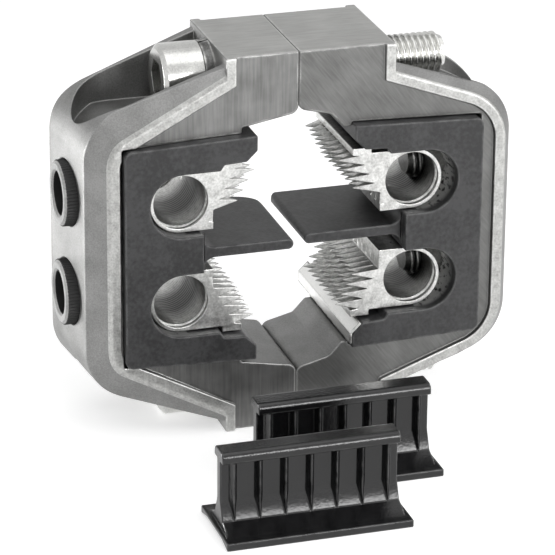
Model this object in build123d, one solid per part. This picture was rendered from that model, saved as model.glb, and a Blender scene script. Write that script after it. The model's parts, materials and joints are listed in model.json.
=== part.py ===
from build123d import *
import math
import os
from types import SimpleNamespace

# Branch clamp for a stripped main cable and up to four branch conductors.
# Two cast aluminium half shells are drawn together by two cap screws. Each half carries a black
# insulating insert, two toothed contact blocks, and two insulated branch screws in its side wall.
# Two loose separator inserts stand in front of it.
# Millimetres, +Z up. While it is built, X = 0 is the joint plane of the halves, Y = 0 the front rim
# (+Y runs deeper) and Z = 0 the middle of the height. A distance u is measured from the joint plane
# outwards, so that one function can make the left and the right piece.

# Half shells
CLAMP_DEPTH = 31.0
FLANGE_TOP = 47.0
SHOULDER_DEPTH = 4.0
RIM_WIDTH = 2.45
RIM_RISE = 1.2
JOINT_CORNER_RADIUS = 2.2
FLANGE_OVERLAP = 5.0

LEFT_SEAT = 17.8
LEFT_RIM_SIDE = 45.6
LEFT_RIM_SHOULDER = 41.7
LEFT_RIM_CORNER = 26.8
LEFT_RIM_RADIUS = 7.0
LEFT_BODY_SIDE = 51.0
LEFT_BODY_SHOULDER = 44.7
LEFT_BODY_CORNER = 33.1
LEFT_BODY_RADIUS = 13.0
LEFT_LEAN = 2.4
LEFT_BEVEL_MEETS = 46.0
LEFT_BEVEL_RADIUS = 14.0
LEFT_JOINT_EDGE = 32.0
LEFT_LEDGE_START = 13.7
LEFT_LEDGE_EDGE = 29.5

RIGHT_SEAT = 23.4
RIGHT_RIM_SIDE = 51.1
RIGHT_RIM_SHOULDER = 39.8
RIGHT_RIM_CORNER = 29.6
RIGHT_RIM_RADIUS = 12.5
RIGHT_BODY_SIDE = 53.6
RIGHT_BODY_SHOULDER = 41.6
RIGHT_BODY_CORNER = 31.4
RIGHT_BODY_RADIUS = 13.5
RIGHT_LEAN = -1.6
RIGHT_BEVEL_MEETS = 45.0
RIGHT_BEVEL_RADIUS = 16.0
RIGHT_JOINT_EDGE = 32.7
RIGHT_LEDGE_START = 8.0
RIGHT_LEDGE_EDGE = 30.7
HOOK_EDGE = 27.3
HOOK_RUN = 3.2

# Clamp screws, M10 x 60 cap screws with spring lock washers
SCREW_HEIGHT = 38.7
SCREW_DIAMETER = 10.0
SCREW_LENGTH = 60.0
HEAD_DIAMETER = 16.0
HEAD_LENGTH = 10.0
SOCKET_ACROSS_FLATS = 8.0
SOCKET_DEPTH = 5.0
WASHER_DIAMETER = 16.0
WASHER_SPLIT = 0.8
WASHER_SPLIT_ANGLE = 25.0
WASHER_THICKNESS = 2.5
SLOT_END_ROOM = 0.6
SLOT_RAMP_START = 43.5
SLOT_RAMP_SLOPE = 0.42

# Insulating inserts
LEFT_ARM_END = 10.6
RIGHT_ARM_END = 13.2
INSERT_LENGTH = 32.0
INSERT_PROUD = 1.4
ARM_OUTER_END = 28.2
ARM_OUTER_BACK = 27.1
ARM_CHAMFER_RUN = 2.6
ARM_CHAMFER_RISE = 2.5
ARM_INNER_TAPER = 0.3
ARM_STEP_START = 8.0
ARM_STEP_RUN = 0.9
POCKET_CENTRE = 18.0
MIDDLE_BLOCK_START = 12.9
INSERT_CORNER_RADIUS = 2.0
TONGUE_THICKNESS = 2.6
TONGUE_ROOT_RADIUS = 3.0
TONGUE_ROOT_SINK = 1.0
TONGUE_BACK = 30.0
LEFT_TONGUE_TIP = 1.4
LEFT_TONGUE_FRONT = -0.5
LEFT_TONGUE_CORNER = 7.0
RIGHT_TONGUE_TIP = 1.85
RIGHT_TONGUE_FRONT = 1.5
RIGHT_TONGUE_CORNER = 2.0

# Contact blocks with the branch bores
BORE_HEIGHT = 12.5
BORE_DIAMETER = 13.0
BLOCK_RADIUS = 7.5
BLOCK_FRONT = 1.5
FACE_TOP_REACH = 13.1
FACE_TOP_RISE = 7.0
FACE_FOOT_REACH = 7.9
FACE_FOOT_DROP = 2.7
LIP_REACH = 14.9
LIP_STEP = 0.2
LIP_THICKNESS = 1.7
TEETH_ROWS = 9
TEETH_COLUMNS = 4
TOOTH_LENGTH = 6.3
GROOVE_PAST_TIP = 2.5
GROOVE_PAST_FOOT = 3.3
NECK_ACROSS_FLATS = 12.8

# Branch screws and their insulating sleeves
BRANCH_SCREW_DIAMETER = 10.0
BRANCH_SCREW_PAST_NECK = 6.4
BRANCH_SOCKET_FLATS = 5.0
BRANCH_SOCKET_DEPTH = 4.5
RIGHT_SCREW_REACH = 3.9
SLEEVE_DIAMETER = 15.8
SLEEVE_BORE = 10.6
LEFT_SLEEVE_END = 54.5
RIGHT_SLEEVE_END = 54.6

# Marking strip on the right insert
STRIP_THICKNESS = 0.6
STRIP_OVERHANG = 7.0
STRIP_END_GAP = 0.3

# Loose separator inserts
SEPARATOR_LENGTH = 42.0
SEPARATOR_HEIGHT = 20.5
SEPARATOR_FOOT_LENGTH = 44.0
SEPARATOR_FOOT_DEPTH = 21.0
SEPARATOR_FOOT_THICKNESS = 1.9
SEPARATOR_FLARE = 6.5
SEPARATOR_FLARE_DIP = 1.9
SEPARATOR_WEB = 2.4
SEPARATOR_BAR = 6.6
SEPARATOR_BAR_HEIGHT = 2.6
SEPARATOR_BAR_RADIUS = 1.5
SEPARATOR_RIBS = 7
SEPARATOR_RIB_PITCH = 6.05
SEPARATOR_RIB_WIDTH = 3.2
SEPARATOR_ARCH = 1.0
SEPARATOR_ARCH_REACH = 5.8
SEPARATOR_FRONT_X = -13.5
SEPARATOR_FRONT_Y = -50.0
SEPARATOR_REAR_X = 2.0
SEPARATOR_REAR_Y = -27.0

# Clearances
INSERT_FIT = 0.1
POCKET_CLEARANCE = 0.3
POCKET_END_ROOM = 0.2
NECK_END_GAP = 0.1
RUNNING_CLEARANCE = 0.05
THREAD_CLEARANCE = 0.05
SLEEVE_FIT = 0.1
SCREW_HOLE_CLEARANCE = 0.35
SLOT_CLEARANCE = 0.7
STRIP_CLEARANCE = 0.05

# How far a cut runs past the piece it cuts, and how much of the largest possible round is used
CUT_PAST = 1.0
NEARLY_FULL_ROUND = 0.97

# Worked out from the sizes above
MIDDLE = CLAMP_DEPTH / 2
INSERT_FRONT = -INSERT_PROUD
INSERT_BACK = CLAMP_DEPTH + INSERT_PROUD
BORE_U = LEFT_ARM_END + POCKET_CENTRE - POCKET_END_ROOM
CONTACT_TRAVEL = RIGHT_ARM_END - LEFT_ARM_END + POCKET_END_ROOM / 4
FACE_TOP_U = BORE_U - FACE_TOP_REACH
FACE_TOP_HEIGHT = BORE_HEIGHT + FACE_TOP_RISE
FACE_FOOT_U = BORE_U - FACE_FOOT_REACH
FACE_FOOT_HEIGHT = BORE_HEIGHT - FACE_FOOT_DROP
LIP_U = BORE_U - LIP_REACH
LIP_UNDERSIDE = FACE_TOP_HEIGHT + LIP_STEP
LIP_TOP = LIP_UNDERSIDE + LIP_THICKNESS
ARM_STEP_INNER = max(LIP_TOP, BORE_HEIGHT + BLOCK_RADIUS) + POCKET_CLEARANCE
ARM_CHAMFER_INNER = ARM_STEP_INNER + ARM_INNER_TAPER
ARM_TIP_INNER = ARM_CHAMFER_INNER + ARM_CHAMFER_RISE
NECK_END = LEFT_ARM_END + INSERT_LENGTH - NECK_END_GAP
BRANCH_SCREW_LENGTH = NECK_END + BRANCH_SCREW_PAST_NECK - BORE_U - BORE_DIAMETER / 2
POCKET_RADIUS = BLOCK_RADIUS + POCKET_CLEARANCE
POCKET_INNER = BORE_HEIGHT - POCKET_RADIUS
POCKET_OUTER = BORE_HEIGHT + POCKET_RADIUS
BLOCK_DEPTH = CLAMP_DEPTH - 2 * BLOCK_FRONT
SLOT_WIDTH = CLAMP_DEPTH - 2 * SHOULDER_DEPTH
SLOT_FLOOR = SCREW_HEIGHT - HEAD_DIAMETER / 2 - SLOT_CLEARANCE
HEAD_UNDERSIDE = -(LEFT_SEAT + WASHER_THICKNESS)
SCREW_TIP = HEAD_UNDERSIDE + SCREW_LENGTH

LEFT = SimpleNamespace(
    seat=LEFT_SEAT, rim_side=LEFT_RIM_SIDE, rim_shoulder=LEFT_RIM_SHOULDER,
    rim_corner=LEFT_RIM_CORNER, rim_radius=LEFT_RIM_RADIUS, body_side=LEFT_BODY_SIDE,
    body_shoulder=LEFT_BODY_SHOULDER, body_corner=LEFT_BODY_CORNER, body_radius=LEFT_BODY_RADIUS,
    lean=LEFT_LEAN, bevel_meets=LEFT_BEVEL_MEETS, bevel_radius=LEFT_BEVEL_RADIUS,
    joint_edge=LEFT_JOINT_EDGE, arm_end=LEFT_ARM_END, tongue_tip=LEFT_TONGUE_TIP,
    tongue_front=LEFT_TONGUE_FRONT, tongue_corner=LEFT_TONGUE_CORNER,
    sleeve_end=LEFT_SLEEVE_END, screw_reach=0.0,
)
RIGHT = SimpleNamespace(
    seat=RIGHT_SEAT, rim_side=RIGHT_RIM_SIDE, rim_shoulder=RIGHT_RIM_SHOULDER,
    rim_corner=RIGHT_RIM_CORNER, rim_radius=RIGHT_RIM_RADIUS, body_side=RIGHT_BODY_SIDE,
    body_shoulder=RIGHT_BODY_SHOULDER, body_corner=RIGHT_BODY_CORNER, body_radius=RIGHT_BODY_RADIUS,
    lean=RIGHT_LEAN, bevel_meets=RIGHT_BEVEL_MEETS, bevel_radius=RIGHT_BEVEL_RADIUS,
    joint_edge=RIGHT_JOINT_EDGE, arm_end=RIGHT_ARM_END, tongue_tip=RIGHT_TONGUE_TIP,
    tongue_front=RIGHT_TONGUE_FRONT, tongue_corner=RIGHT_TONGUE_CORNER,
    sleeve_end=RIGHT_SLEEVE_END, screw_reach=RIGHT_SCREW_REACH,
)


def section(depth):
    """The X-Z plane at a depth, looked at from the front."""
    return Plane(origin=(0, depth, 0), x_dir=(1, 0, 0), z_dir=(0, -1, 0))


def closed_outline(points, radii=0):
    """A face inside a closed polyline whose corners are rounded."""
    if radii == 0:
        return make_face(Polyline(*points, close=True))
    return make_face(FilletPolyline(*points, radius=radii, close=True))


def prism(face, front, back):
    """A face drawn in X and Z, carried through from one depth to another."""
    return extrude(section(back) * face, amount=back - front)


def rod(start, end, radius, height=0.0, depth=MIDDLE):
    """A round bar along X."""
    turned = Rot(0, 90, 0) * Cylinder(radius, end - start)
    return Pos((start + end) / 2, depth, height) * turned


def hexagon_bar(start, end, across_flats, height):
    """A six-sided bar along X, flat at the top."""
    shape = Plane(origin=(start, MIDDLE, height), x_dir=(0, 1, 0), z_dir=(1, 0, 0))
    return extrude(shape * RegularPolygon(across_flats / 2, 6, major_radius=False), amount=end - start)


def both_ways(points):
    """Points of an upper half, followed by their mirror images below, in order."""
    return points + [(u, -z) for u, z in reversed(points)]


def body_slope(half):
    """How much the top of the body falls towards its side."""
    return (half.body_shoulder - half.body_corner) / (half.body_side - half.seat)


def rim_slope(half):
    """How much the rim falls towards the side."""
    return (half.rim_shoulder - half.rim_corner) / (half.rim_side - half.seat)


def side_bevel(half):
    """What the slope between the rim and the side leaves out, at the front."""
    run = half.body_side - half.rim_side
    depth = SHOULDER_DEPTH
    plan = Plane(origin=(half.rim_side, 0, -2 * FLANGE_TOP), x_dir=(1, 0, 0), z_dir=(0, 0, 1))
    wedge = closed_outline([(-run, -depth), (2 * run, 2 * depth), (2 * run, -depth)])
    return extrude(plan * wedge, amount=4 * FLANGE_TOP, dir=(0, 0, 1))


def top_bevel(half):
    """What the slope between the rim and the top leaves out, at the front."""
    rim_height = half.rim_shoulder - rim_slope(half) * (half.bevel_meets - half.seat)
    body_height = half.body_shoulder - body_slope(half) * (half.bevel_meets - half.seat)
    angle = math.atan(rim_slope(half))
    rise = (body_height - rim_height) * math.cos(angle)
    depth = SHOULDER_DEPTH
    outwards = (math.sin(angle), 0, math.cos(angle))
    along = (math.cos(angle), 0, -math.sin(angle))
    across = Plane(origin=(half.seat, 0, half.rim_shoulder), x_dir=outwards, z_dir=along)
    wedge = closed_outline([(-rise, depth), (2 * rise, -2 * depth), (2 * rise, depth)])
    return extrude(across * wedge, amount=2 * FLANGE_TOP, both=True)


def along(edge, way):
    """Whether a straight edge runs in a given direction."""
    return edge.tangent_at(0.5).cross(way.normalized()).length < 0.001


def slanted(edge):
    """Whether a straight edge runs askew to all three axes."""
    return min(abs(part) for part in edge.tangent_at(0.5)) > 0.1


def body_block(half):
    """The part of a half shell outside its flange: a slope and a side that lean, bevelled all round."""
    start = half.seat - FLANGE_OVERLAP
    top = half.body_shoulder + body_slope(half) * FLANGE_OVERLAP
    lean_per_depth = half.lean / (CLAMP_DEPTH - 2 * SHOULDER_DEPTH)
    way = Vector(lean_per_depth, 1, 0)
    outline = closed_outline(both_ways([(start, top), (half.body_side, half.body_corner)]))
    outline = Pos(-lean_per_depth * SHOULDER_DEPTH, 0) * outline
    block = extrude(section(0) * outline, amount=CLAMP_DEPTH * way.length, dir=way)
    middle = Plane(origin=(0, MIDDLE, 0), x_dir=(1, 0, 0), z_dir=(0, 1, 0))
    bevels = [side_bevel(half), top_bevel(half), mirror(top_bevel(half), about=Plane.XY)]
    for bevel in bevels:
        block -= bevel
        block -= Pos(half.lean, 0, 0) * mirror(bevel, about=middle)
    bevel_edges = block.edges().filter_by(GeomType.LINE).filter_by(slanted)
    block = fillet(bevel_edges, half.bevel_radius)
    long_edges = block.edges().filter_by(GeomType.LINE).filter_by(lambda edge: along(edge, way))
    return fillet(long_edges.sort_by(Axis.X)[-2:], half.body_radius)


def cavity_outline(half, hooked):
    """The space between the flanges: a sloped mouth, a ledge, then the seat of the insert."""
    back = half.arm_end + INSERT_LENGTH + INSERT_FIT
    slope = (ARM_OUTER_END - ARM_OUTER_BACK) / INSERT_LENGTH
    mouth = [(-FLANGE_OVERLAP, half.joint_edge), (0.0, half.joint_edge)]
    if hooked:
        start = half.arm_end - INSERT_FIT
        hook_tip = RIGHT_LEDGE_START + HOOK_RUN
        edge = [(RIGHT_LEDGE_START, RIGHT_LEDGE_EDGE), (hook_tip, HOOK_EDGE), (start, HOOK_EDGE)]
    else:
        start = LEFT_LEDGE_START
        edge = [(start, LEFT_LEDGE_EDGE)]
    seat_start = ARM_OUTER_END + INSERT_FIT - slope * (start - half.arm_end)
    seat = [(start, seat_start), (back, ARM_OUTER_BACK + INSERT_FIT)]
    return closed_outline(both_ways(mouth + edge + seat))


def rim_recess(half, lean):
    """The part of the front or back face inside the raised rim, whose side has moved by a lean."""
    beyond = 2 * RIM_WIDTH
    shoulder = half.rim_shoulder + rim_slope(half) * lean
    upper = [
        (-beyond, FLANGE_TOP + beyond), (half.seat, FLANGE_TOP + beyond),
        (half.seat, shoulder), (half.rim_side + lean, half.rim_corner),
    ]
    radii = [0, 0, 0, half.rim_radius, half.rim_radius, 0, 0, 0]
    outer = closed_outline(both_ways(upper), radii)
    return offset(outer, amount=-RIM_WIDTH, kind=Kind.INTERSECTION)


def screw_slot(half, level):
    """The open slot that gives room to a screw's head or end, with a ramp down to its outer end."""
    radius = SLOT_WIDTH / 2
    end = half.body_side - SLOT_END_ROOM - radius
    height = FLANGE_TOP
    straight = Pos((half.seat + end) / 2, MIDDLE, height / 2) * Box(end - half.seat, SLOT_WIDTH, height)
    rounded = Pos(end, MIDDLE, height / 2) * Cylinder(radius, height)
    slot = Pos(0, 0, SLOT_FLOOR) * (straight + rounded)
    run = 2 * radius
    triangle = [(0, 0), (run, 0), (run, -SLOT_RAMP_SLOPE * run)]
    ramp = Pos(SLOT_RAMP_START, 0, SLOT_FLOOR) * prism(closed_outline(triangle), 0, CLAMP_DEPTH)
    slot += ramp & (Pos(end, MIDDLE, SLOT_FLOOR) * Cylinder(radius, 2 * run))
    return slot if level > 0 else mirror(slot, about=Plane.XY)


def half_shell(half, hooked, screw_hole_diameter):
    """One cast half, with its rim, shoulder, slots, insert seat and holes."""
    flange = Pos(half.seat / 2, MIDDLE, 0) * Box(half.seat, CLAMP_DEPTH, 2 * FLANGE_TOP)
    shell = body_block(half) + flange
    shell -= prism(cavity_outline(half, hooked), -CUT_PAST, CLAMP_DEPTH + CUT_PAST)
    shell -= prism(rim_recess(half, 0.0), -CUT_PAST, RIM_RISE)
    shell -= prism(rim_recess(half, half.lean), CLAMP_DEPTH - RIM_RISE, CLAMP_DEPTH + CUT_PAST)
    joint_edges = shell.edges().filter_by(Axis.Y).filter_by_position(Axis.X, -0.01, 0.01)
    inner_edges = joint_edges.sort_by(lambda edge: abs(edge.center().Z))[:2]
    shell = fillet(inner_edges, JOINT_CORNER_RADIUS)
    sleeve_hole = SLEEVE_DIAMETER / 2 + SLEEVE_FIT
    for level in (1, -1):
        shell -= screw_slot(half, level)
        shell -= rod(-CUT_PAST, half.seat + CUT_PAST, screw_hole_diameter / 2, level * SCREW_HEIGHT)
        side_start = half.arm_end + INSERT_LENGTH
        shell -= rod(side_start, half.sleeve_end + CUT_PAST, sleeve_hole, level * BORE_HEIGHT)
    return shell


def insulating_insert(half):
    """The black moulding of one half: two arms, two pockets, a middle block and a tongue."""
    def at(distance):
        return half.arm_end + distance

    upper_arm = [
        (at(0), ARM_OUTER_END), (at(0), ARM_TIP_INNER), (at(ARM_CHAMFER_RUN), ARM_CHAMFER_INNER),
        (at(ARM_STEP_START), ARM_STEP_INNER), (at(ARM_STEP_START + ARM_STEP_RUN), POCKET_OUTER),
        (at(POCKET_CENTRE), POCKET_OUTER), (at(POCKET_CENTRE), POCKET_INNER),
        (at(MIDDLE_BLOCK_START), POCKET_INNER),
    ]
    back = at(INSERT_LENGTH)
    outer = [(back, -ARM_OUTER_BACK), (back, ARM_OUTER_BACK)]
    insert = prism(closed_outline(both_ways(upper_arm) + outer), INSERT_FRONT, INSERT_BACK)
    corners = insert.edges().filter_by(Axis.Y).group_by(Axis.X)[-1]
    insert = fillet(corners, INSERT_CORNER_RADIUS)
    for level in (1, -1):
        pocket_end = Pos(at(POCKET_CENTRE), level * BORE_HEIGHT) * Circle(POCKET_RADIUS)
        insert -= prism(pocket_end, INSERT_FRONT - CUT_PAST, INSERT_BACK + CUT_PAST)
        neck_hole = NECK_ACROSS_FLATS + 2 * RUNNING_CLEARANCE
        insert -= hexagon_bar(at(POCKET_CENTRE), back + CUT_PAST, neck_hole, level * BORE_HEIGHT)
    return insert + tongue(half, at(MIDDLE_BLOCK_START))


def tongue(half, root):
    """The thin barrier that reaches from the middle block towards the joint."""
    tip = half.tongue_tip
    z = TONGUE_THICKNESS / 2
    flare = z + TONGUE_ROOT_RADIUS
    end = root + TONGUE_ROOT_SINK
    upper = [(tip, z), (root, z), (root, flare), (end, flare)]
    root_round = TONGUE_ROOT_RADIUS * NEARLY_FULL_ROUND
    nose = z * NEARLY_FULL_ROUND
    radii = [nose, root_round, 0, 0, 0, 0, root_round, nose]
    plate = prism(closed_outline(both_ways(upper), radii), half.tongue_front, TONGUE_BACK)
    depth = TONGUE_BACK - half.tongue_front
    mask = Pos((tip + end) / 2, (half.tongue_front + TONGUE_BACK) / 2, 0) * Box(end - tip, depth, 2 * flare)
    corner = mask.edges().filter_by(Axis.Z).sort_by(Axis.X)[:2].sort_by(Axis.Y)[-1]
    return plate & fillet(corner, half.tongue_corner)


def tooth_grooves():
    """V grooves across the depth, which part the saw-edged face into rows of spikes."""
    face = Vector(FACE_FOOT_U - FACE_TOP_U, 0, FACE_FOOT_HEIGHT - FACE_TOP_HEIGHT)
    pitch = BLOCK_DEPTH / TEETH_ROWS
    reach = TOOTH_LENGTH + GROOVE_PAST_TIP
    half_width = pitch / 2 * reach / TOOTH_LENGTH
    start = FACE_TOP_U
    plane = Plane(origin=(0, 0, FACE_TOP_HEIGHT), x_dir=(1, 0, 0), z_dir=(0, 0, 1))
    grooves = []
    for row in range(TEETH_ROWS + 1):
        y = BLOCK_FRONT + row * pitch
        points = [(start, y), (start - reach, y - half_width), (start - reach, y + half_width)]
        wedge = plane * closed_outline(points)
        grooves.append(extrude(wedge, amount=face.length + GROOVE_PAST_FOOT, dir=face.normalized()))
    return grooves


def contact_block(half):
    """A tinned contact: round-ended block, branch bore, threaded six-sided neck, lip and spiked face."""
    centre = BORE_U
    toothed = []
    for column in range(TEETH_COLUMNS):
        near = column / TEETH_COLUMNS
        far = (column + 1) / TEETH_COLUMNS
        middle = (near + far) / 2
        root_u = FACE_TOP_U + near * (FACE_FOOT_U - FACE_TOP_U)
        root_z = FACE_TOP_HEIGHT + near * (FACE_FOOT_HEIGHT - FACE_TOP_HEIGHT)
        tip_u = FACE_TOP_U + middle * (FACE_FOOT_U - FACE_TOP_U) - TOOTH_LENGTH
        tip_z = FACE_TOP_HEIGHT + middle * (FACE_FOOT_HEIGHT - FACE_TOP_HEIGHT)
        toothed += [(root_u, root_z), (tip_u, tip_z)]
    lip_end = half.arm_end + ARM_STEP_START - POCKET_CLEARANCE
    if half is RIGHT:
        lip_end -= CONTACT_TRAVEL
    top = BORE_HEIGHT + BLOCK_RADIUS
    bottom = BORE_HEIGHT - BLOCK_RADIUS
    outline = toothed + [
        (FACE_FOOT_U, FACE_FOOT_HEIGHT), (FACE_FOOT_U, bottom), (centre, bottom), (centre, top),
        (lip_end, top), (lip_end, LIP_TOP), (LIP_U, LIP_TOP), (LIP_U, LIP_UNDERSIDE),
    ]
    back = CLAMP_DEPTH - BLOCK_FRONT
    block = prism(closed_outline(outline), BLOCK_FRONT, back)
    round_end = Pos(centre, BORE_HEIGHT) * Circle(BLOCK_RADIUS)
    block += prism(round_end, BLOCK_FRONT, back)
    for groove in tooth_grooves():
        block -= groove
    block += hexagon_bar(centre, NECK_END, NECK_ACROSS_FLATS, BORE_HEIGHT)
    bore = section(back) * (Pos(centre, BORE_HEIGHT) * Circle(BORE_DIAMETER / 2))
    block -= extrude(bore, amount=BLOCK_DEPTH)
    threaded_hole = BRANCH_SCREW_DIAMETER / 2 + THREAD_CLEARANCE
    return block - rod(centre, NECK_END + CUT_PAST, threaded_hole, BORE_HEIGHT)


def branch_screw(half):
    """A grub screw with a hexagon socket, seen through the sleeve."""
    tip = BORE_U + BORE_DIAMETER / 2 - half.screw_reach
    end = tip + BRANCH_SCREW_LENGTH
    screw = rod(tip, end, BRANCH_SCREW_DIAMETER / 2, BORE_HEIGHT)
    return screw - hexagon_bar(end - BRANCH_SOCKET_DEPTH, end + CUT_PAST, BRANCH_SOCKET_FLATS, BORE_HEIGHT)


def insulating_sleeve(half):
    """The black sleeve round the branch screw, which ends in a ring outside the shell."""
    start = half.arm_end + INSERT_LENGTH
    sleeve = rod(start, half.sleeve_end, SLEEVE_DIAMETER / 2, BORE_HEIGHT)
    return sleeve - rod(start - CUT_PAST, half.sleeve_end + CUT_PAST, SLEEVE_BORE / 2, BORE_HEIGHT)


def clamp_screw(level):
    """A cap screw with a hexagon socket, lying along X."""
    end = HEAD_UNDERSIDE - HEAD_LENGTH
    head = rod(end, HEAD_UNDERSIDE, HEAD_DIAMETER / 2, level * SCREW_HEIGHT)
    shank = rod(HEAD_UNDERSIDE, SCREW_TIP, SCREW_DIAMETER / 2, level * SCREW_HEIGHT)
    socket = hexagon_bar(end - CUT_PAST, end + SOCKET_DEPTH, SOCKET_ACROSS_FLATS, level * SCREW_HEIGHT)
    return head + shank - socket


def lock_washer(level):
    """The spring lock washer between a screw head and the left flange, split on a slant."""
    height = level * SCREW_HEIGHT
    disc = rod(HEAD_UNDERSIDE, -LEFT_SEAT, WASHER_DIAMETER / 2, height)
    disc -= rod(HEAD_UNDERSIDE - CUT_PAST, 0, SCREW_DIAMETER / 2 + SCREW_HOLE_CLEARANCE, height)
    split = Rot(0, 0, WASHER_SPLIT_ANGLE) * Box(2 * WASHER_THICKNESS, WASHER_SPLIT, WASHER_DIAMETER)
    centre = (HEAD_UNDERSIDE - LEFT_SEAT) / 2
    return disc - Pos(centre, MIDDLE, height + level * WASHER_DIAMETER / 2) * split


def marking_strip(half):
    """A thin bent strip over the end and the chamfer of the right insert's lower arm."""
    slope = (ARM_TIP_INNER - ARM_CHAMFER_INNER) / ARM_CHAMFER_RUN
    run = ARM_CHAMFER_RUN - STRIP_END_GAP
    u = half.arm_end - STRIP_CLEARANCE
    bend = STRIP_CLEARANCE - ARM_TIP_INNER
    path = Polyline((u, STRIP_END_GAP - HOOK_EDGE), (u, bend), (u + run, bend + slope * run))
    face = make_face(offset(path, amount=STRIP_THICKNESS, side=Side.LEFT, kind=Kind.INTERSECTION))
    return prism(face, INSERT_FRONT, INSERT_BACK + STRIP_OVERHANG)


def separator_insert(x, y):
    """A loose separator: a ribbed web between a top bar and a flared foot, arched underneath."""
    floor = -FLANGE_TOP
    half_web = SEPARATOR_WEB / 2
    half_bar = SEPARATOR_BAR / 2
    half_foot = SEPARATOR_FOOT_DEPTH / 2
    foot_top = SEPARATOR_FOOT_THICKNESS
    bar_foot = SEPARATOR_HEIGHT - SEPARATOR_BAR_HEIGHT
    right_side = [
        (half_web + SEPARATOR_FLARE, foot_top),
        (half_web + SEPARATOR_FLARE_DIP, foot_top + SEPARATOR_FLARE_DIP),
        (half_web, foot_top + SEPARATOR_FLARE),
        (half_web, bar_foot), (half_bar, bar_foot), (half_bar, SEPARATOR_HEIGHT),
    ]
    radii = [0, 0, 0, 0, 0, SEPARATOR_BAR_RADIUS]
    left_side = [(-a, b) for a, b in reversed(right_side)]
    side = Plane(origin=(x, y, floor), x_dir=(0, 1, 0), z_dir=(1, 0, 0))
    web = closed_outline(right_side + left_side, radii + list(reversed(radii)))
    body = extrude(side * web, amount=SEPARATOR_LENGTH / 2, both=True)
    arch = [(SEPARATOR_ARCH_REACH, SEPARATOR_ARCH), (half_foot, 0.0), (half_foot, foot_top)]
    foot = closed_outline(arch + [(-a, b) for a, b in reversed(arch)])
    body += extrude(side * foot, amount=SEPARATOR_FOOT_LENGTH / 2, both=True)
    rib_start = -(SEPARATOR_RIBS - 1) / 2 * SEPARATOR_RIB_PITCH
    for index in range(SEPARATOR_RIBS):
        rib_x = x + rib_start + index * SEPARATOR_RIB_PITCH
        outline = [
            (rib_x - SEPARATOR_RIB_WIDTH / 2, y), (rib_x, y - half_bar),
            (rib_x + SEPARATOR_RIB_WIDTH / 2, y), (rib_x, y + half_bar),
        ]
        plane = Plane(origin=(0, 0, floor + foot_top), x_dir=(1, 0, 0), z_dir=(0, 0, 1))
        body += extrude(plane * closed_outline(outline), amount=bar_foot - foot_top)
    return body


def mirrored_left(piece):
    """The piece of the left half, made from one drawn outwards from the joint plane."""
    return mirror(piece, about=Plane.YZ)


def lower(piece):
    """The piece below the middle, made from the one above."""
    return mirror(piece, about=Plane.XY)


def build_pieces():
    """Every piece by its name, in the frame of the joint plane."""
    pieces = {}
    left_hole = SCREW_DIAMETER + 2 * SCREW_HOLE_CLEARANCE
    right_hole = SCREW_DIAMETER + 2 * THREAD_CLEARANCE
    pieces["left_half_shell"] = mirrored_left(half_shell(LEFT, False, left_hole))
    pieces["right_half_shell"] = half_shell(RIGHT, True, right_hole)
    pieces["left_insulating_insert"] = mirrored_left(insulating_insert(LEFT))
    pieces["right_insulating_insert"] = insulating_insert(RIGHT)
    makers = [
        ("contact_block", contact_block), ("branch_screw", branch_screw),
        ("insulating_sleeve", insulating_sleeve),
    ]
    for kind, maker in makers:
        left_piece = mirrored_left(maker(LEFT))
        right_piece = maker(RIGHT)
        pieces["upper_left_" + kind] = left_piece
        pieces["lower_left_" + kind] = lower(left_piece)
        pieces["upper_right_" + kind] = right_piece
        pieces["lower_right_" + kind] = lower(right_piece)
    for name, level in (("top", 1), ("bottom", -1)):
        pieces[name + "_clamp_screw"] = clamp_screw(level)
        pieces[name + "_lock_washer"] = lock_washer(level)
    pieces["marking_strip"] = marking_strip(RIGHT)
    pieces["front_separator_insert"] = separator_insert(SEPARATOR_FRONT_X, SEPARATOR_FRONT_Y)
    pieces["rear_separator_insert"] = separator_insert(SEPARATOR_REAR_X, SEPARATOR_REAR_Y)
    return pieces


def base_shift(pieces):
    """The move that puts the origin at floor level, under the middle of everything."""
    boxes = [piece.bounding_box() for piece in pieces.values()]
    x = (min(box.min.X for box in boxes) + max(box.max.X for box in boxes)) / 2
    y = (min(box.min.Y for box in boxes) + max(box.max.Y for box in boxes)) / 2
    return Vector(-x, -y, -min(box.min.Z for box in boxes))


def main():
    pieces = build_pieces()
    shift = base_shift(pieces)
    os.makedirs("parts", exist_ok=True)
    for name, piece in pieces.items():
        export_step(Pos(shift) * piece, "parts/" + name + ".step")
    print("origin moved by", shift)


main()
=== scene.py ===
import json
import math

import bmesh
import bpy
from mathutils import Matrix, Vector

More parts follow.
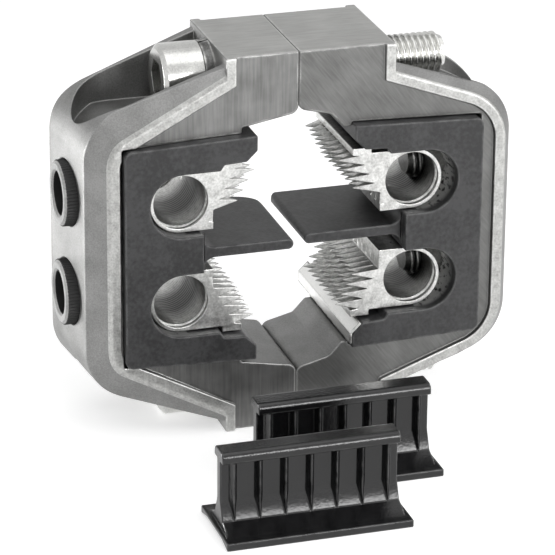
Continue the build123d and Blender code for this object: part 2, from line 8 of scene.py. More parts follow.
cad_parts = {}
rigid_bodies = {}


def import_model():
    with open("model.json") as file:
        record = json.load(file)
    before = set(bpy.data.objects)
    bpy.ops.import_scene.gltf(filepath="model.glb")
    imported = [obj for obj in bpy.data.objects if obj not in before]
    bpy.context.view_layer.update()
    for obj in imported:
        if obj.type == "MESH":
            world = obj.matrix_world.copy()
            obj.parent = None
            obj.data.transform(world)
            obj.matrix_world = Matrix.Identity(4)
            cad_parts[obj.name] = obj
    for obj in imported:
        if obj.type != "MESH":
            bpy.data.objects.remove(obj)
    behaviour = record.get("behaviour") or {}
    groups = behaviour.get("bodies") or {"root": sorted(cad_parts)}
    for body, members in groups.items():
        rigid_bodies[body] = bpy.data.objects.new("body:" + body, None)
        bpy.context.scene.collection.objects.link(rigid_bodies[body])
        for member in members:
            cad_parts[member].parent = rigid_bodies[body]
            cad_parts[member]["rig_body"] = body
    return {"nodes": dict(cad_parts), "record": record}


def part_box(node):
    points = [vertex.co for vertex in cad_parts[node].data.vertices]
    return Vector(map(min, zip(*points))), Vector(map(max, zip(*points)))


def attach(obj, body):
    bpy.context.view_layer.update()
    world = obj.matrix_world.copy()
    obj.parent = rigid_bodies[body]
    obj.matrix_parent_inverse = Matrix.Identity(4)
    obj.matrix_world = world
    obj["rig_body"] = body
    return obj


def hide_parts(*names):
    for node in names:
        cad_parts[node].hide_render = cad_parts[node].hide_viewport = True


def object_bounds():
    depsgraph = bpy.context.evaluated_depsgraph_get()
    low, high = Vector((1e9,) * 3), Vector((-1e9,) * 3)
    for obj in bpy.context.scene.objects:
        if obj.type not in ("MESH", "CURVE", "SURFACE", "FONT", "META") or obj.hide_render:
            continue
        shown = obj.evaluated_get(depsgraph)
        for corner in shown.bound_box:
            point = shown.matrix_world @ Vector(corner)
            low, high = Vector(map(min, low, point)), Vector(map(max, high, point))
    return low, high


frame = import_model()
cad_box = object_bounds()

# The branch clamp's surfaces, its threads, ribs and rounded edges, the stage and the camera.
# Everything is in metres, in the frame of the CAD model: +X to the right, +Y deeper, +Z up.

MM = 0.001
left_shell_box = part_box("left_half_shell")
JOINT = Vector((left_shell_box[1].x, left_shell_box[0].y, (left_shell_box[0].z + left_shell_box[1].z) / 2))

# The inserts' pockets: where their round ends lie, measured from the joint plane and the middle of the height.
LEFT_POCKET_U_MM = -28.6
RIGHT_POCKET_U_MM = 31.2
POCKET_HEIGHT_MM = 12.5
POCKET_RADIUS_MM = 7.8
RIM_RISE_MM = 1.2

# The branch bores. The record states those of the left side, and the right side mirrors them.
BORES = [mount for mount in frame["record"]["mounts"] if mount["kind"] == "bore"]
BORE_RADIUS = BORES[0]["dims"]["r_mm"] * MM
BORE_MIDDLE = BORES[0]["pos_m"]


def at(x, y, z):
    """A place measured in mm from the joint plane, the front rim and the middle of the height."""
    return JOINT + Vector((x, y, z)) * MM


def bore_centre(way, level):
    """The middle of a branch bore across and up, for a side and a level that are each -1 or 1."""
    x, _, z = BORE_MIDDLE
    return JOINT.x + way * abs(x - JOINT.x), JOINT.z + level * abs(z - JOINT.z)


# Nodes and materials.
def linear(hex_colour):
    """An sRGB hex value as the linear colour that the shaders take."""
    channels = [int(hex_colour[i:i + 2], 16) / 255 for i in (1, 3, 5)]
    return [c / 12.92 if c <= 0.04045 else ((c + 0.055) / 1.055) ** 2.4 for c in channels] + [1.0]


def add(tree, kind, sockets=None, **settings):
    """Adds a node: a setting is one of its properties or named sockets, and a socket takes a link or a value."""
    node = tree.nodes.new(kind)
    for name, value in settings.items():
        if hasattr(node, name):
            setattr(node, name, value)
        else:
            node.inputs[name.replace("_", " ")].default_value = value
    for socket, source in (sockets or {}).items():
        if isinstance(source, bpy.types.NodeSocket):
            tree.links.new(source, node.inputs[socket])
        else:
            node.inputs[socket].default_value = source
    return node


def maths(tree, operation, *values):
    """A sum, a product or a comparison of links and plain numbers."""
    return add(tree, "ShaderNodeMath", dict(enumerate(values)), operation=operation).outputs[0]


def new_material(name):
    """A material with its own empty node tree and an output."""
    material = bpy.data.materials.new(name)
    material.use_nodes = True
    tree = material.node_tree
    tree.nodes.clear()
    output = tree.nodes.new("ShaderNodeOutputMaterial")
    return material, tree, output


def object_place(tree, turn_deg=0.0, stretch=(1.0, 1.0, 1.0)):
    """Where a point lies on its own piece, turned about the depth and stretched for streaks."""
    source = add(tree, "ShaderNodeTexCoord").outputs["Object"]
    place = add(tree, "ShaderNodeMapping", {"Vector": source}, Rotation=(0.0, math.radians(turn_deg), 0.0))
    return add(tree, "ShaderNodeMapping", {"Vector": place.outputs[0]}, Scale=stretch).outputs[0]


def noise(tree, place, size_mm, detail):
    """A cloudy pattern whose patches have about the given size."""
    return add(tree, "ShaderNodeTexNoise", {"Vector": place}, Scale=1 / (size_mm * MM), Detail=detail).outputs["Fac"]


def soft_edges(tree, edge_mm):
    """The normal of a small round along every edge."""
    return add(tree, "ShaderNodeBevel", Radius=edge_mm * MM).outputs["Normal"]


def worn_edges(tree, reach_mm):
    """A share that is 1 along the outer edges and corners, broken up by patches, and 0 elsewhere: it places edge wear
    together with painted edge highlights and shade.
    """
    open_share = add(tree, "ShaderNodeAmbientOcclusion", Distance=reach_mm * MM, samples=6, inside=True).outputs["AO"]
    edge = add(tree, "ShaderNodeMapRange", {"Value": open_share}, From_Min=0.97, From_Max=0.72)
    patch = add(tree, "ShaderNodeMapRange", {"Value": noise(tree, object_place(tree), 2.5, 4.0)},
                From_Min=0.35, From_Max=0.6)
    return maths(tree, "MULTIPLY", edge.outputs[0], patch.outputs[0])


def near_axes(tree, split, centres, radius):
    """1 where a point, seen from the front, lies within the radius of one of the centres."""
    flat = add(tree, "ShaderNodeCombineXYZ", {"X": split["X"], "Z": split["Z"]}).outputs[0]
    inside = None
    for x, z in centres:
        away = add(tree, "ShaderNodeVectorMath", {0: flat, 1: (x, 0.0, z)}, operation="DISTANCE")
        near = maths(tree, "LESS_THAN", away.outputs["Value"], radius)
        inside = near if inside is None else maths(tree, "MAXIMUM", inside, near)
    return inside


def bore_shade(tree):
    """The share of painted shade deep inside the branch bores."""
    split = add(tree, "ShaderNodeSeparateXYZ", {0: add(tree, "ShaderNodeTexCoord").outputs["Object"]}).outputs
    centres = [bore_centre(way, level) for way in (-1, 1) for level in (-1, 1)]
    inside = near_axes(tree, split, centres, BORE_RADIUS + 0.75 * MM)
    off_middle = maths(tree, "ABSOLUTE", maths(tree, "SUBTRACT", split["Y"], BORE_MIDDLE[1]))
    deep = add(tree, "ShaderNodeMapRange", {"Value": off_middle}, From_Min=10.0 * MM, From_Max=3.5 * MM)
    return maths(tree, "MULTIPLY", inside, deep.outputs[0])


def pocket_highlight(tree, pocket_u_mm):
    """The share of a pale, painted highlight on the round ends of an insert's pockets."""
    split = add(tree, "ShaderNodeSeparateXYZ", {0: add(tree, "ShaderNodeTexCoord").outputs["Object"]}).outputs
    centres = [at(pocket_u_mm, 0.0, level * POCKET_HEIGHT_MM).xz for level in (1, -1)]
    wall = near_axes(tree, split, centres, (POCKET_RADIUS_MM + 0.15) * MM)
    deep = add(tree, "ShaderNodeMapRange", {"Value": split["Y"]},
               From_Min=JOINT.y + 0.5 * MM, From_Max=JOINT.y + 6.0 * MM)
    highlight_patches = add(tree, "ShaderNodeMapRange", {"Value": noise(tree, object_place(tree, 0.0, (1.0, 0.4, 1.0)), 0.9, 6.0)},
                From_Min=0.36, From_Max=0.48)
    return maths(tree, "MULTIPLY", wall, maths(tree, "MULTIPLY", deep.outputs[0], highlight_patches.outputs[0]))


def metal_layer(tree, colour, dark, grain_mm, blotch_mm, roughness, bump_mm, turn_deg=0.0,
                stretch=(1.0, 1.0, 1.0), edge_mm=0.2, worn=None, oiled=None):
    """The shader of a metal whose colour and roughness drift in blotches, with a grain or streaks as bump."""
    blotch = noise(tree, object_place(tree), blotch_mm, 4.0)
    grain = noise(tree, object_place(tree, turn_deg, stretch), grain_mm, 3.0)
    share = add(tree, "ShaderNodeMapRange", {"Value": maths(tree, "ADD", blotch, grain)}, From_Min=0.7, From_Max=1.3)
    seen = add(tree, "ShaderNodeMix", {0: share.outputs[0], 6: linear(dark), 7: linear(colour)},
               data_type="RGBA").outputs[2]
    # Edge wear with painted edge highlights; the strip's darker edge is painted shade.
    if worn:
        seen = add(tree, "ShaderNodeMix", {0: worn_edges(tree, 0.6), 6: seen, 7: linear(worn)},
                   data_type="RGBA").outputs[2]
    # Painted shade: a darker colour deep inside the branch bores.
    if oiled:
        seen = add(tree, "ShaderNodeMix", {0: bore_shade(tree), 6: seen, 7: linear(oiled)},
                   data_type="RGBA").outputs[2]
    gloss = add(tree, "ShaderNodeMapRange", {"Value": blotch}, To_Min=roughness - 0.06, To_Max=roughness + 0.08)
    bump = add(tree, "ShaderNodeBump", {"Height": grain, "Normal": soft_edges(tree, edge_mm)},
               Strength=0.7, Distance=bump_mm * MM)
    shader = add(tree, "ShaderNodeBsdfPrincipled", {
        "Base Color": seen, "Roughness": gloss.outputs[0], "Normal": bump.outputs["Normal"]}, Metallic=1.0)
    return shader.outputs[0]


def metal(name, *settings, **more):
    """A material of one metal."""
    material, tree, output = new_material(name)
    tree.links.new(metal_layer(tree, *settings, **more), output.inputs["Surface"])
    return material


def shell_metal(name, node_name, side, face, rim, top):
    """Cast sides with worked faces: the rim and the face inside it by their depth, and the flange tops, painted
    lighter as if lit from above, by height.
    """
    material, tree, output = new_material(name)
    lowest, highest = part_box(node_name)
    coordinates = add(tree, "ShaderNodeTexCoord")
    place = add(tree, "ShaderNodeSeparateXYZ", {0: coordinates.outputs["Object"]}).outputs
    normal = add(tree, "ShaderNodeSeparateXYZ", {0: coordinates.outputs["Normal"]}).outputs
    middle = (lowest + highest) / 2
    half = (highest - lowest) / 2

    def depth_below(axis):
        """How far a point lies inside the shell's box along an axis, from the nearer side."""
        number = "XYZ".index(axis)
        away = maths(tree, "ABSOLUTE", maths(tree, "SUBTRACT", place[axis], middle[number]))
        return maths(tree, "SUBTRACT", half[number], away)

    facing = maths(tree, "ABSOLUTE", normal["Y"])
    flat_front = maths(tree, "GREATER_THAN", facing, 0.92)
    near_front = maths(tree, "GREATER_THAN", facing, 0.4)
    flat_top = maths(tree, "GREATER_THAN", maths(tree, "ABSOLUTE", normal["Z"]), 0.8)
    depth = depth_below("Y")
    on_rim = maths(tree, "MULTIPLY", near_front, maths(tree, "LESS_THAN", depth, RIM_RISE_MM / 2 * MM))
    on_face = maths(tree, "MULTIPLY", flat_front, maths(tree, "LESS_THAN", depth, 2 * RIM_RISE_MM * MM))
    # Painted light: the level faces at the very top and bottom of the shell get the lighter flange colour, standing in
    # for light from above.
    painted_lit_top = maths(tree, "MULTIPLY", flat_top, maths(tree, "LESS_THAN", depth_below("Z"), 0.5 * MM))
    surface = metal_layer(tree, *side[0], **side[1])
    for mask, (settings, more) in ((on_face, face), (on_rim, rim), (painted_lit_top, top)):
        layer = metal_layer(tree, *settings, **more)
        surface = add(tree, "ShaderNodeMixShader", {0: mask, 1: surface, 2: layer}).outputs[0]
    tree.links.new(surface, output.inputs["Surface"])
    return material


def moulding(name, colour, light, grain_mm, roughness, bump_mm, worn=None, highlit=None):
    """A dark moulded plastic with a faint grain, paler patches, and edges that are scuffed and painted lighter as
    highlights.
    """
    material, tree, output = new_material(name)
    place = object_place(tree)
    grain = noise(tree, place, grain_mm, 3.0)
    both = maths(tree, "ADD", noise(tree, place, 12 * grain_mm, 6.0), noise(tree, place, 2 * grain_mm, 3.0))
    patches = add(tree, "ShaderNodeMapRange", {"Value": both}, From_Min=0.8, From_Max=1.2)
    seen = add(tree, "ShaderNodeMix", {0: patches.outputs[0], 6: linear(colour), 7: linear(light)},
               data_type="RGBA").outputs[2]
    # Edge wear with painted edge highlights along the outer edges.
    if worn:
        seen = add(tree, "ShaderNodeMix", {0: worn_edges(tree, 0.5), 6: seen, 7: linear(worn)},
                   data_type="RGBA").outputs[2]
    # Painted highlight: a pale smear on the round ends of the pockets.
    if highlit:
        seen = add(tree, "ShaderNodeMix", {0: pocket_highlight(tree, highlit), 6: seen, 7: linear("#f6f6f4")},
                   data_type="RGBA").outputs[2]
    bump = add(tree, "ShaderNodeBump", {"Height": grain, "Normal": soft_edges(tree, 0.2)},
               Strength=0.6, Distance=bump_mm * MM)
    shader = add(tree, "ShaderNodeBsdfPrincipled", {
        "Base Color": seen, "Normal": bump.outputs["Normal"]}, Roughness=roughness)
    tree.links.new(shader.outputs[0], output.inputs["Surface"])
    return material


# With a finish, a lighter edge colour is edge wear together with a painted edge highlight; the strip's darker edge
# colour is painted shade.
# A metal's numbers are its colour, its dark colour, the sizes of grain and blotches in mm, the roughness, and the
# height of the bump in mm.
# Blasted aluminium: an even mid grey with soft, matt light on the rounded corners.
BLASTED = (("#929291", "#767675", 0.35, 7.0, 0.48, 0.035), {})
# The rim is milled bright, so that it stands out as a pale line round each half.
BRIGHT_RIM = (("#bcbcba", "#949492", 0.5, 2.0, 0.36, 0.02), {"worn": "#dcdcda"})
# The left front face has fine upright milling streaks.
UPRIGHT = (("#80807f", "#666665", 0.5, 6.0, 0.4, 0.008), {"stretch": (1.0, 1.0, 0.05), "worn": "#c4c4c2"})
# The right front face is sanded in slanting strokes.
SLANTING = (("#747473", "#60605f", 0.45, 7.0, 0.42, 0.006),
            {"turn_deg": 38.0, "stretch": (1.0, 1.0, 0.08), "worn": "#b4b4b2"})
# The flange tops are smoother than the cast sides, and painted a shade lighter as light from above.
FLANGE = (("#acacaa", "#989896", 0.6, 8.0, 0.4, 0.008), {"stretch": (0.1, 1.0, 1.0), "worn": "#d4d4d2"})
LEFT_CAST = shell_metal("blasted aluminium with upright milling streaks", "left_half_shell",
                        BLASTED, UPRIGHT, BRIGHT_RIM, FLANGE)
RIGHT_CAST = shell_metal("blasted aluminium with slanting sanding strokes", "right_half_shell",
                         BLASTED, SLANTING, BRIGHT_RIM, FLANGE)
# Tin plating: pale, bright and a little blotched, with painted shade deep in the bores.
TIN = metal("tin plated contact alloy", "#dcdcda", "#a6a6a4", 0.5, 1.6, 0.3, 0.03, oiled="#5c5c5b")
# Zinc plated steel: smooth and reflective, so that the screw head shows light and dark bands.
ZINC = metal("zinc plated steel", "#d4d4d1", "#bcbcba", 0.4, 5.0, 0.2, 0.006)
# The grub screws and the lock washers share a dark steel colour; on the grub screws it is partly painted shade, so
# that their tips stay dark inside the bores.
DARK_STEEL_AND_SHADE = metal("dark steel and painted bore shade", "#767675", "#4c4c4b", 0.4, 2.0, 0.3, 0.01, worn="#c0c0be")
# Satin sheet: the brightest flat metal on the clamp, with a darker edge that is painted shade.
STRIP = metal("satin aluminium strip", "#f2f2f0", "#e2e2e0", 0.3, 5.0, 0.36, 0.01, worn="#6a6a69")
# A moulding's numbers are its colour, its pale colour, the size of the grain in mm, the roughness, and the height
# of the bump in mm.
# Moulded polyamide: dark grey under a matt skin, with edges scuffed and painted a lighter grey as highlights.
# The pockets' round ends get a pale smear, a painted highlight.
LEFT_BLACK = moulding("black moulded polyamide with rubbed left pockets", "#1c1c1d", "#353536", 0.5, 0.46, 0.06,
                      worn="#6e6e6e", highlit=LEFT_POCKET_U_MM)
RIGHT_BLACK = moulding("black moulded polyamide with rubbed right pockets", "#1c1c1d", "#353536", 0.5, 0.46, 0.06,
                       worn="#6e6e6e", highlit=RIGHT_POCKET_U_MM)
# The loose separators are glossier, and deeper black between their ribs.
GLOSSY = moulding("glossy black polyamide", "#0d0d0e", "#171718", 0.6, 0.2, 0.07, worn="#4a4a4a")
# The sleeves' flank is black, and their end ring is worn to a light grey.
SLEEVE = moulding("black ribbed sleeve", "#0a0a0a", "#131313", 0.4, 0.5, 0.02)
WORN_RING = moulding("worn grey end ring", "#8c8c8b", "#a4a4a3", 0.4, 0.45, 0.02)


def finish_of(name):
    """The material of a piece, by its name."""
    if "shell" in name:
        return LEFT_CAST if "left" in name else RIGHT_CAST
    if "contact" in name:
        return TIN
    if "branch_screw" in name or "washer" in name:
        return DARK_STEEL_AND_SHADE
    if "strip" in name:
        return STRIP
    if "screw" in name:
        return ZINC
    if "separator" in name:
        return GLOSSY
    return LEFT_BLACK if "left" in name else RIGHT_BLACK


for name, node in frame["nodes"].items():
    node.data.materials.clear()
    node.data.materials.append(finish_of(name))


def take_over(new_object, name):
    """The object stands for a CAD node: it rides the same body, and the CAD node is hidden."""
    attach(new_object, frame["nodes"][name]["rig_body"])
    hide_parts(name)


def link(name, data):
    """A new object in the scene."""
    new_object = bpy.data.objects.new(name, data)
    bpy.context.scene.collection.objects.link(new_object)
    return new_object


def bridge(bm, ring, following):
    """The faces between two closed rings of the same number of vertices."""
    steps = len(ring)
    return [bm.faces.new((ring[i], ring[(i + 1) % steps], following[(i + 1) % steps], following[i]))
            for i in range(steps)]


# How the copies are rounded: points weld, faces join within an angle, and edges from an angle on are rounded.
WELD_MM = 0.0005
FLAT_WITHIN = math.radians(1.0)
ROUNDED_FROM = math.radians(28)


def rounded_copy(name, width_mm, segments, cutter=None):
    """A copy of a CAD piece with a small round along every sharp edge, and with turned grooves cut into it."""
    lowest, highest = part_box(name)
    mesh = frame["nodes"][name].data.copy()
    bm = bmesh.new()
    bm.from_mesh(mesh)
    bmesh.ops.remove_doubles(bm, verts=bm.verts, dist=WELD_MM * MM)
    bmesh.ops.dissolve_limit(bm, angle_limit=FLAT_WITHIN, verts=bm.verts, edges=bm.edges)
    if name.endswith("shell"):
        # The walls with holes in them are split, so that no face reaches across a hole.
        bmesh.ops.connect_verts_concave(bm, faces=bm.faces)
    for face in bm.faces:
        face.smooth = True
    bm.to_mesh(mesh)
    bm.free()
    rounded = link(name + "_rounded", mesh)
    if cutter:
        cut = rounded.modifiers.new("turned bore", "BOOLEAN")
        cut.operation = "DIFFERENCE"
        cut.object = cutter
        cut.solver = "EXACT"
    bevel = rounded.modifiers.new("rounds", "BEVEL")
    bevel.width = width_mm * MM
    bevel.segments = segments
    bevel.limit_method = "ANGLE"
    bevel.angle_limit = ROUNDED_FROM
    # A limit on the width would follow the shortest edge of all, and sliding would draw slivers across the faces.
    bevel.use_clamp_overlap = False
    bevel.loop_slide = False
    bevel.miter_outer = "MITER_ARC"
    rounded.modifiers.new("flat faces stay flat", "WEIGHTED_NORMAL").weight = 80
    bpy.context.view_layer.update()
    mesh = bpy.data.meshes.new_from_object(rounded.evaluated_get(bpy.context.evaluated_depsgraph_get()))
    rounded.modifiers.clear()
    rounded.data = mesh
    if cutter:
        bpy.data.objects.remove(cutter)
    for vertex in mesh.vertices:
        for axis in range(3):
            vertex.co[axis] = min(max(vertex.co[axis], lowest[axis]), highest[axis])
    mesh.materials.clear()
    mesh.materials.append(finish_of(name))
    for polygon in mesh.polygons:
        polygon.material_index = 0
    take_over(rounded, name)


# What the lathe leaves in a bore: fine rings, and a groove between two distances from each mouth.
RING_PITCH_MM = 1.0
RING_DEPTH_MM = 0.16
ROWS_PER_RING = 4
GROOVE_MM = (0.9, 2.1)
GROOVE_DEPTH_MM = 0.45
CUTTER_ROOM_MM = 0.03
CUTTER_STEPS = 96


def turned_cutter(name):
    """What a lathe takes out of a bore: a groove near each mouth, and fine rings all along it."""
    lowest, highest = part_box(name)
    centre_x, centre_z = bore_centre(-1 if "left" in name else 1, 1 if "upper" in name else -1)
    count = round((highest.y - lowest.y) / (RING_PITCH_MM * MM) * ROWS_PER_RING)
    widened = BORE_RADIUS + CUTTER_ROOM_MM * MM
    rows = [(lowest.y - 1.0 * MM, widened)]
    for i in range(count + 1):
        y = lowest.y + (highest.y - lowest.y) * i / count
        inward = min(y - lowest.y, highest.y - y)
        groove = GROOVE_DEPTH_MM * MM if GROOVE_MM[0] * MM < inward < GROOVE_MM[1] * MM else 0.0
        ring = RING_DEPTH_MM * MM * (0.5 - 0.5 * math.cos(2 * math.pi * i / ROWS_PER_RING))
        rows.append((y, widened + groove + ring))
    rows.append((highest.y + 1.0 * MM, widened))
    bm = bmesh.new()
    angles = [2 * math.pi * i / CUTTER_STEPS for i in range(CUTTER_STEPS)]
    rings = [[bm.verts.new((centre_x + radius * math.cos(angle), y, centre_z + radius * math.sin(angle)))
              for angle in angles] for y, radius in rows]
    for ring, following in zip(rings, rings[1:]):
        bridge(bm, ring, following)
    bm.faces.new(rings[0])
    bm.faces.new(rings[-1])
    bmesh.ops.recalc_face_normals(bm, faces=bm.faces)
    mesh = bpy.data.meshes.new("cutter")
    bm.to_mesh(mesh)
    bm.free()
    return link("cutter", mesh)


for side in ("left", "right"):
    rounded_copy(side + "_half_shell", 0.35, 3)
    rounded_copy(side + "_insulating_insert", 0.35, 3)
    for level in ("upper_", "lower_"):
        contact = level + side + "_contact_block"
        rounded_copy(contact, 0.18, 2, turned_cutter(contact))
for place_name in ("front", "rear"):
    rounded_copy(place_name + "_separator_insert", 0.3, 3)
rounded_copy("marking_strip", 0.12, 2)


def ringed(name, rows, steps, centre, finishes):
    """A mesh of rings about the X axis: a row is (x, radius at an angle, finish), all in metres."""
    mesh = bpy.data.meshes.new(name)
    bm = bmesh.new()
    angles = [2 * math.pi * i / steps for i in range(steps)]
    rings = []
    for x, radius, finish in rows:
        ring = []
        for angle in angles:
            r = radius(angle)
            ring.append(bm.verts.new((x, centre.y + r * math.cos(angle), centre.z + r * math.sin(angle))))
        rings.append((ring, finish))
    for (ring, finish), (following, _) in zip(rings, rings[1:]):
        for face in bridge(bm, ring, following):
            face.material_index = finish
    bmesh.ops.remove_doubles(bm, verts=bm.verts, dist=0.001 * MM)
    bmesh.ops.dissolve_degenerate(bm, edges=bm.edges, dist=0.0005 * MM)
    bmesh.ops.recalc_face_normals(bm, faces=bm.faces)
    bm.to_mesh(mesh)
    bm.free()
    for polygon in mesh.polygons:
        polygon.use_smooth = True
    mesh.set_sharp_from_angle(angle=math.radians(32))
    for finish in finishes:
        mesh.materials.append(finish)
    return link(name, mesh)


def plain(radius):
    """The same radius all round."""
    return lambda angle: radius


def hexagon(across_flats):
    """The radius of a hexagon that is flat at the top."""
    return lambda angle: across_flats / 2 / math.cos((angle - math.pi / 3) % (math.pi / 3) - math.pi / 6)


def ribbed(radius, count, depth):
    """The radius of a flank with fine ribs along the axis."""
    return lambda angle: radius - depth * (0.5 - 0.5 * math.cos(count * angle))


# The M10 screws: sizes of the thread, and the number of corners of a turned ring.
THREAD_PITCH = 1.5 * MM
THREAD_DEPTH = 0.92 * MM
THREAD_RADIUS = 5.0 * MM
THREAD_ROWS_PER_TURN = 12
STEPS = 72


def thread(x, radius):
    """The radius of a right-hand thread at a place along its axis: a narrow crest, straight flanks and a root."""
    def at_angle(angle):
        phase = (x / THREAD_PITCH - angle / (2 * math.pi)) % 1.0
        slope = min(max((abs(phase - 0.5) - 0.0625) / 0.3125, 0.0), 1.0)
        return radius - THREAD_DEPTH * (1 - slope)
    return at_angle


def thread_rows(start, end):
    """Rows of thread between two places, whichever way they run."""
    count = max(2, round(abs(end - start) / THREAD_PITCH * THREAD_ROWS_PER_TURN))
    places = [start + (end - start) * i / count for i in range(count + 1)]
    return [(x, thread(x, THREAD_RADIUS), 0) for x in places]


def make_clamp_screw(name):
    """A cap screw: chamfered head, hexagon socket, and a thread on the outer two thirds of the shank."""
    lowest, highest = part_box(name)
    centre = (lowest + highest) / 2
    head, root = 8.0 * MM, THREAD_RADIUS
    socket, socket_depth = hexagon(8.0 * MM), 5.0 * MM
    chamfer, worn_corner = 1.1 * MM, 0.25 * MM
    outer = lowest.x
    under = outer + 10.0 * MM
    tip = highest.x
    rows = [
        (outer + socket_depth, plain(0.0), 0), (outer + socket_depth, socket, 0),
        (outer, socket, 0), (outer, plain(head - chamfer), 0), (outer + 0.9 * MM, plain(head), 0),
        (under - worn_corner, plain(head), 0), (under, plain(head - worn_corner), 0), (under, plain(root), 0),
        (tip - 40.0 * MM, plain(root), 0),
    ]
    rows += thread_rows(tip - 39.5 * MM, tip - 0.9 * MM)
    rows += [(tip, plain(root - chamfer), 0), (tip, plain(0.0), 0)]
    take_over(ringed(name + "_threaded", rows, STEPS, centre, [ZINC]), name)


def outward(name, lowest, highest):
    """The inner and outer ends along X of a piece that points away from the joint, and its way, -1 or 1."""
    return (highest.x, lowest.x, -1) if "left" in name else (lowest.x, highest.x, 1)


def make_branch_screw(name):
    """A threaded grub screw whose point faces the bore and whose socket faces outwards."""
    lowest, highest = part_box(name)
    centre = (lowest + highest) / 2
    point, outer, way = outward(name, lowest, highest)
    root = THREAD_RADIUS
    socket, socket_depth = hexagon(5.0 * MM), 4.5 * MM
    rows = [(point, plain(0.0), 0), (point, plain(root - 1.2 * MM), 0)]
    rows += thread_rows(point + way * 1.0 * MM, outer - way * 0.8 * MM)
    rows += [
        (outer, plain(root - 1.0 * MM), 0), (outer, socket, 0),
        (outer - way * socket_depth, socket, 0), (outer - way * socket_depth, plain(0.0), 0),
    ]
    take_over(ringed(name + "_threaded", rows, STEPS, centre, [DARK_STEEL_AND_SHADE]), name)


SLEEVE_RIBS = 60
SLEEVE_STEPS = 360


def make_sleeve(name):
    """A sleeve with a finely ribbed flank and a chamfered, worn end ring."""
    lowest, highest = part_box(name)
    centre = (lowest + highest) / 2
    inner, outer, way = outward(name, lowest, highest)
    radius, bore, chamfer = 7.9 * MM, 5.3 * MM, 0.5 * MM
    flank = ribbed(radius, SLEEVE_RIBS, 0.3 * MM)
    rows = [
        (inner, plain(bore), 0), (outer - way * chamfer, plain(bore), 1), (outer, plain(bore + chamfer), 1),
        (outer, plain(radius - 0.8 * MM), 1), (outer - way * chamfer, plain(radius - 0.3 * MM), 0),
        (outer - way * 0.6 * MM, flank, 0), (inner, flank, 0), (inner, plain(bore), 0),
    ]
    take_over(ringed(name + "_ribbed", rows, SLEEVE_STEPS, centre, [SLEEVE, WORN_RING]), name)


for name in list(frame["nodes"]):
    if name.endswith("clamp_screw"):
        make_clamp_screw(name)
    elif name.endswith("branch_screw"):
        make_branch_screw(name)
    elif name.endswith("sleeve"):
        make_sleeve(name)


# Stage: a pale floor and backdrop, soft lamps, and the camera at the photograph's viewing angle.
def seen_directly(tree):
    """1 where the camera, a reflection or a view through glass sees a surface, and 0 for its light and shadow."""
    path = add(tree, "ShaderNodeLightPath").outputs
    either = maths(tree, "MAXIMUM", path["Is Camera Ray"], path["Is Glossy Ray"])
    return maths(tree, "MAXIMUM", either, path["Is Transmission Ray"])


def white_to_the_eye(name, shade):
    """White where the camera or a reflection sees it, and a plain pale surface for light and shadow."""
    material, tree, output = new_material(name)
    matt = add(tree, "ShaderNodeBsdfDiffuse", Color=linear(shade))
    glow = add(tree, "ShaderNodeEmission", Color=linear("#ffffff"), Strength=0.55)
    both = add(tree, "ShaderNodeAddShader", {0: matt.outputs[0], 1: glow.outputs[0]})
    mixed = add(tree, "ShaderNodeMixShader", {0: seen_directly(tree), 1: matt.outputs[0], 2: both.outputs[0]})
    tree.links.new(mixed.outputs[0], output.inputs["Surface"])
    return material


FLOOR_REACH = 2.0
FLOOR_BACK = 0.9
SWEEP_RADIUS = 0.5
SWEEP_STEPS = 12
WALL_TOP = 2.5


def make_stage():
    """A floor that rises behind the object in one sweep."""
    floor_z = cad_box[0].z
    mesh = bpy.data.meshes.new("floor")
    bm = bmesh.new()
    rows = [(-FLOOR_REACH, floor_z), (FLOOR_BACK, floor_z)]
    for i in range(1, SWEEP_STEPS + 1):
        angle = math.pi / 2 * i / SWEEP_STEPS
        rows.append((FLOOR_BACK + SWEEP_RADIUS * math.sin(angle), floor_z + SWEEP_RADIUS * (1 - math.cos(angle))))
    rows.append((FLOOR_BACK + SWEEP_RADIUS, floor_z + WALL_TOP))
    lines = [[bm.verts.new((x, y, z)) for x in (-FLOOR_REACH, FLOOR_REACH)] for y, z in rows]
    for a, b in zip(lines, lines[1:]):
        bm.faces.new((a[0], a[1], b[1], b[0])).smooth = True
    bm.to_mesh(mesh)
    bm.free()
    floor = link("floor", mesh)
    mesh.materials.append(white_to_the_eye("pale studio floor", "#e4e4e4"))


def make_world():
    """A white surrounding that lights softly."""
    world = bpy.data.worlds.new("soft studio")
    bpy.context.scene.world = world
    world.use_nodes = True
    tree = world.node_tree
    tree.nodes.clear()
    output = tree.nodes.new("ShaderNodeOutputWorld")
    light = add(tree, "ShaderNodeBackground", Color=linear("#ffffff"), Strength=0.35)
    shown = add(tree, "ShaderNodeBackground", Color=linear("#ffffff"), Strength=1.0)
    mixed = add(tree, "ShaderNodeMixShader", {0: seen_directly(tree), 1: light.outputs[0], 2: shown.outputs[0]})
    tree.links.new(mixed.outputs[0], output.inputs["Surface"])


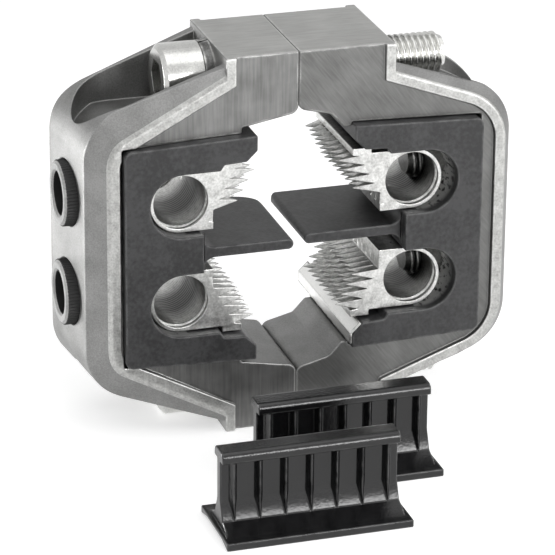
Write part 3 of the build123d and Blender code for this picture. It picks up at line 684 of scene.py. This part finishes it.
def lamp(name, where, aim, size, power):
    """A square lamp that faces a point: the size in metres, the power in watts."""
    data = bpy.data.lights.new(name, "AREA")
    data.shape = "SQUARE"
    data.size = size
    data.energy = power
    lamp_object = link(name, data)
    lamp_object.location = where
    lamp_object.rotation_mode = "QUATERNION"
    lamp_object.rotation_quaternion = (aim - where).to_track_quat("-Z", "Y")


# The camera that was fitted to the photograph.
CAMERA_YAW = math.radians(17.55)
CAMERA_PITCH = math.radians(22.49)
CAMERA_ROLL = math.radians(0.48)
CAMERA_TARGET = at(-5.21, 0.0, -8.36)
CAMERA_DISTANCE = 825.16 * MM
FOCAL_LENGTH_MM = 227.0
SENSOR_WIDTH_MM = 36.0


def make_camera():
    """The photograph's view: a long lens, from the left and above."""
    forward = Vector((math.sin(CAMERA_YAW) * math.cos(CAMERA_PITCH), math.cos(CAMERA_YAW) * math.cos(CAMERA_PITCH),
                      -math.sin(CAMERA_PITCH)))
    right = Vector((math.cos(CAMERA_YAW), -math.sin(CAMERA_YAW), 0.0))
    up = right.cross(forward)
    rolled_right = right * math.cos(CAMERA_ROLL) + up * math.sin(CAMERA_ROLL)
    rolled_up = up * math.cos(CAMERA_ROLL) - right * math.sin(CAMERA_ROLL)
    data = bpy.data.cameras.new("camera")
    data.sensor_width = SENSOR_WIDTH_MM
    data.lens = FOCAL_LENGTH_MM
    data.clip_start = 0.01
    data.clip_end = 20.0
    camera = link("camera", data)
    turn = Matrix((rolled_right, rolled_up, -forward)).transposed().to_4x4()
    camera.matrix_world = Matrix.Translation(CAMERA_TARGET - forward * CAMERA_DISTANCE) @ turn
    bpy.context.scene.camera = camera


make_stage()
make_world()
lamp("key", at(-420, 260, -15), at(0, 0, -10), 0.1, 0.7)
lamp("front", at(154, -506, 148), at(0, 0, -20), 0.15, 1.0)
lamp("shoulder", at(380, 110, 385), at(0, 0, 0), 0.35, 0.2)
lamp("ceiling", at(-120, -80, 600), at(0, 0, 0), 0.7, 1.5)
lamp("low left", at(-230, 110, -36), at(-40, 10, -30), 0.05, 0.35)
lamp("fill", at(420, -300, 200), at(0, 0, 0), 0.5, 1.5)
make_camera()
bpy.context.scene.view_settings.view_transform = "Standard"
